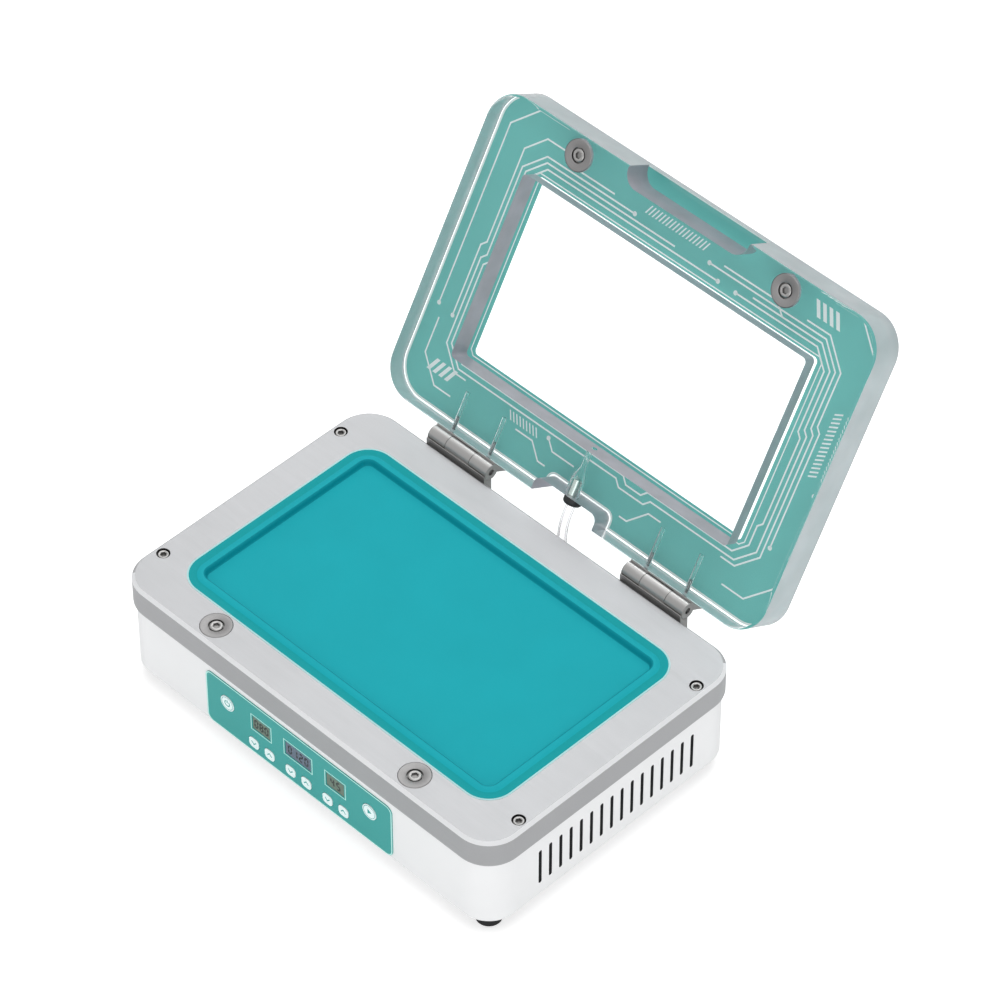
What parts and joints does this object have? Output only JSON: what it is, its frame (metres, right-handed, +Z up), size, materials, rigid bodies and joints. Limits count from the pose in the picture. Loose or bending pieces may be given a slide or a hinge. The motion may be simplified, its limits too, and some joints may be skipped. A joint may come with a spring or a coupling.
{
  "type": "lcd laminating machine",
  "caption": "desktop vacuum laminator for LCD panels: heated plate with a silicone mat, thick clear hinged lid with an air hose, front panel with displays and keys",
  "frame": {"origin": "bottom centre of the whole machine's box with the lid open, on the floor", "axes": "+Z up, +X to the machine's right as seen from its front, +Y to the rear, where the hinges are"},
  "size_m": [0.31, 0.3388, 0.2668],
  "materials": {
    "housing_white": "satin powder coat",
    "plate_aluminium": "fine brushed, clear anodised",
    "mat_silicone": "satin",
    "lid_acrylic": "clear, polished, frosted pocket walls",
    "lid_print_teal": "screen print under the lid's outer face",
    "panel_film": "printed film",
    "key_white": "gloss",
    "display_lens": "smoked lens",
    "steel": "turned",
    "hinge_steel": "ground",
    "fastener_steel": "plain",
    "sheet_metal": "zinc plated",
    "foot_rubber": "matt",
    "black_plastic": "matt",
    "board_green": "solder mask",
    "heater_rubber": "matt",
    "insulation_felt": "felt",
    "fitting_nickel": "nickel plated",
    "brass": "plain",
    "hose_clear": "clear, soft"
  },
  "bodies": {
    "base": {"base_housing": "housing_white", "bottom_plate": "sheet_metal", "bottom_plate_screws": "fastener_steel", "rubber_feet": "foot_rubber", "foot_screws": "fastener_steel", "chassis_screws": "fastener_steel", "top_plate": "plate_aluminium", "top_plate_screws": "fastener_steel", "silicone_mat": "mat_silicone", "heater_pad": "heater_rubber", "heat_insulation": "insulation_felt", "heater_clamp_sheet": "sheet_metal", "heater_clamp_screws": "fastener_steel", "thermostat": "black_plastic", "base_catch_discs": "steel", "base_catch_screws": "fastener_steel", "control_overlay": "panel_film", "left_display": "display_lens", "centre_display": "display_lens", "right_display": "display_lens", "control_board": "board_green", "control_board_screws": "fastener_steel", "key_switches": "black_plastic", "main_board": "board_green", "main_board_screws": "fastener_steel", "power_supply": "sheet_metal", "vacuum_pump_motor": "steel", "vacuum_pump_head": "black_plastic", "pump_bracket": "sheet_metal", "solenoid_valve": "black_plastic", "mains_inlet": "black_plastic", "mains_inlet_pins": "brass", "rocker_switch_body": "black_plastic", "rear_elbow_fitting": "fitting_nickel", "rear_elbow_ring": "black_plastic", "rear_elbow_nut": "fitting_nickel", "hinge_base_leaf_left": "hinge_steel", "hinge_base_leaf_right": "hinge_steel", "hinge_pin_left": "fastener_steel", "hinge_pin_right": "fastener_steel", "hinge_base_screws": "fastener_steel", "air_hose": "hose_clear"},
    "lid": {"lid_slab": "lid_acrylic", "lid_print": "lid_print_teal", "lid_catch_discs": "steel", "lid_catch_screws": "fastener_steel", "lid_hose_fitting": "fitting_nickel", "lid_fitting_ring": "black_plastic", "hinge_lid_leaf_left": "hinge_steel", "hinge_lid_leaf_right": "hinge_steel", "hinge_lid_screws": "fastener_steel"},
    "power_button": {"power_button": "key_white"},
    "start_button": {"start_button": "key_white"},
    "left_down_key": {"left_down_key": "key_white"},
    "left_up_key": {"left_up_key": "key_white"},
    "centre_down_key": {"centre_down_key": "key_white"},
    "centre_up_key": {"centre_up_key": "key_white"},
    "right_down_key": {"right_down_key": "key_white"},
    "right_up_key": {"right_up_key": "key_white"},
    "power_rocker": {"power_rocker": "black_plastic"}
  },
  "joints": [
    {"name": "lid_hinge", "type": "hinge", "parent": "base", "child": "lid", "pos_m": [0, 0.04383, 0.0822], "axis": [1, 0, 0], "range_deg": [0, 120], "deforming": ["air_hose"]},
    {"name": "power_press", "type": "slide", "parent": "base", "child": "power_button", "axis": [0, 1, 0], "range_m": [0, 0.0005], "stiffness_N_per_m": 60, "springref_m": -0.01},
    {"name": "start_press", "type": "slide", "parent": "base", "child": "start_button", "axis": [0, 1, 0], "range_m": [0, 0.0005], "stiffness_N_per_m": 60, "springref_m": -0.01},
    {"name": "left_down_press", "type": "slide", "parent": "base", "child": "left_down_key", "axis": [0, 1, 0], "range_m": [0, 0.0005], "stiffness_N_per_m": 60, "springref_m": -0.01},
    {"name": "left_up_press", "type": "slide", "parent": "base", "child": "left_up_key", "axis": [0, 1, 0], "range_m": [0, 0.0005], "stiffness_N_per_m": 60, "springref_m": -0.01},
    {"name": "centre_down_press", "type": "slide", "parent": "base", "child": "centre_down_key", "axis": [0, 1, 0], "range_m": [0, 0.0005], "stiffness_N_per_m": 60, "springref_m": -0.01},
    {"name": "centre_up_press", "type": "slide", "parent": "base", "child": "centre_up_key", "axis": [0, 1, 0], "range_m": [0, 0.0005], "stiffness_N_per_m": 60, "springref_m": -0.01},
    {"name": "right_down_press", "type": "slide", "parent": "base", "child": "right_down_key", "axis": [0, 1, 0], "range_m": [0, 0.0005], "stiffness_N_per_m": 60, "springref_m": -0.01},
    {"name": "right_up_press", "type": "slide", "parent": "base", "child": "right_up_key", "axis": [0, 1, 0], "range_m": [0, 0.0005], "stiffness_N_per_m": 60, "springref_m": -0.01},
    {"name": "rocker_tilt", "type": "hinge", "parent": "base", "child": "power_rocker", "pos_m": [-0.076, 0.03663, 0.035], "axis": [-1, 0, 0], "range_deg": [0, 20]}
  ]
}
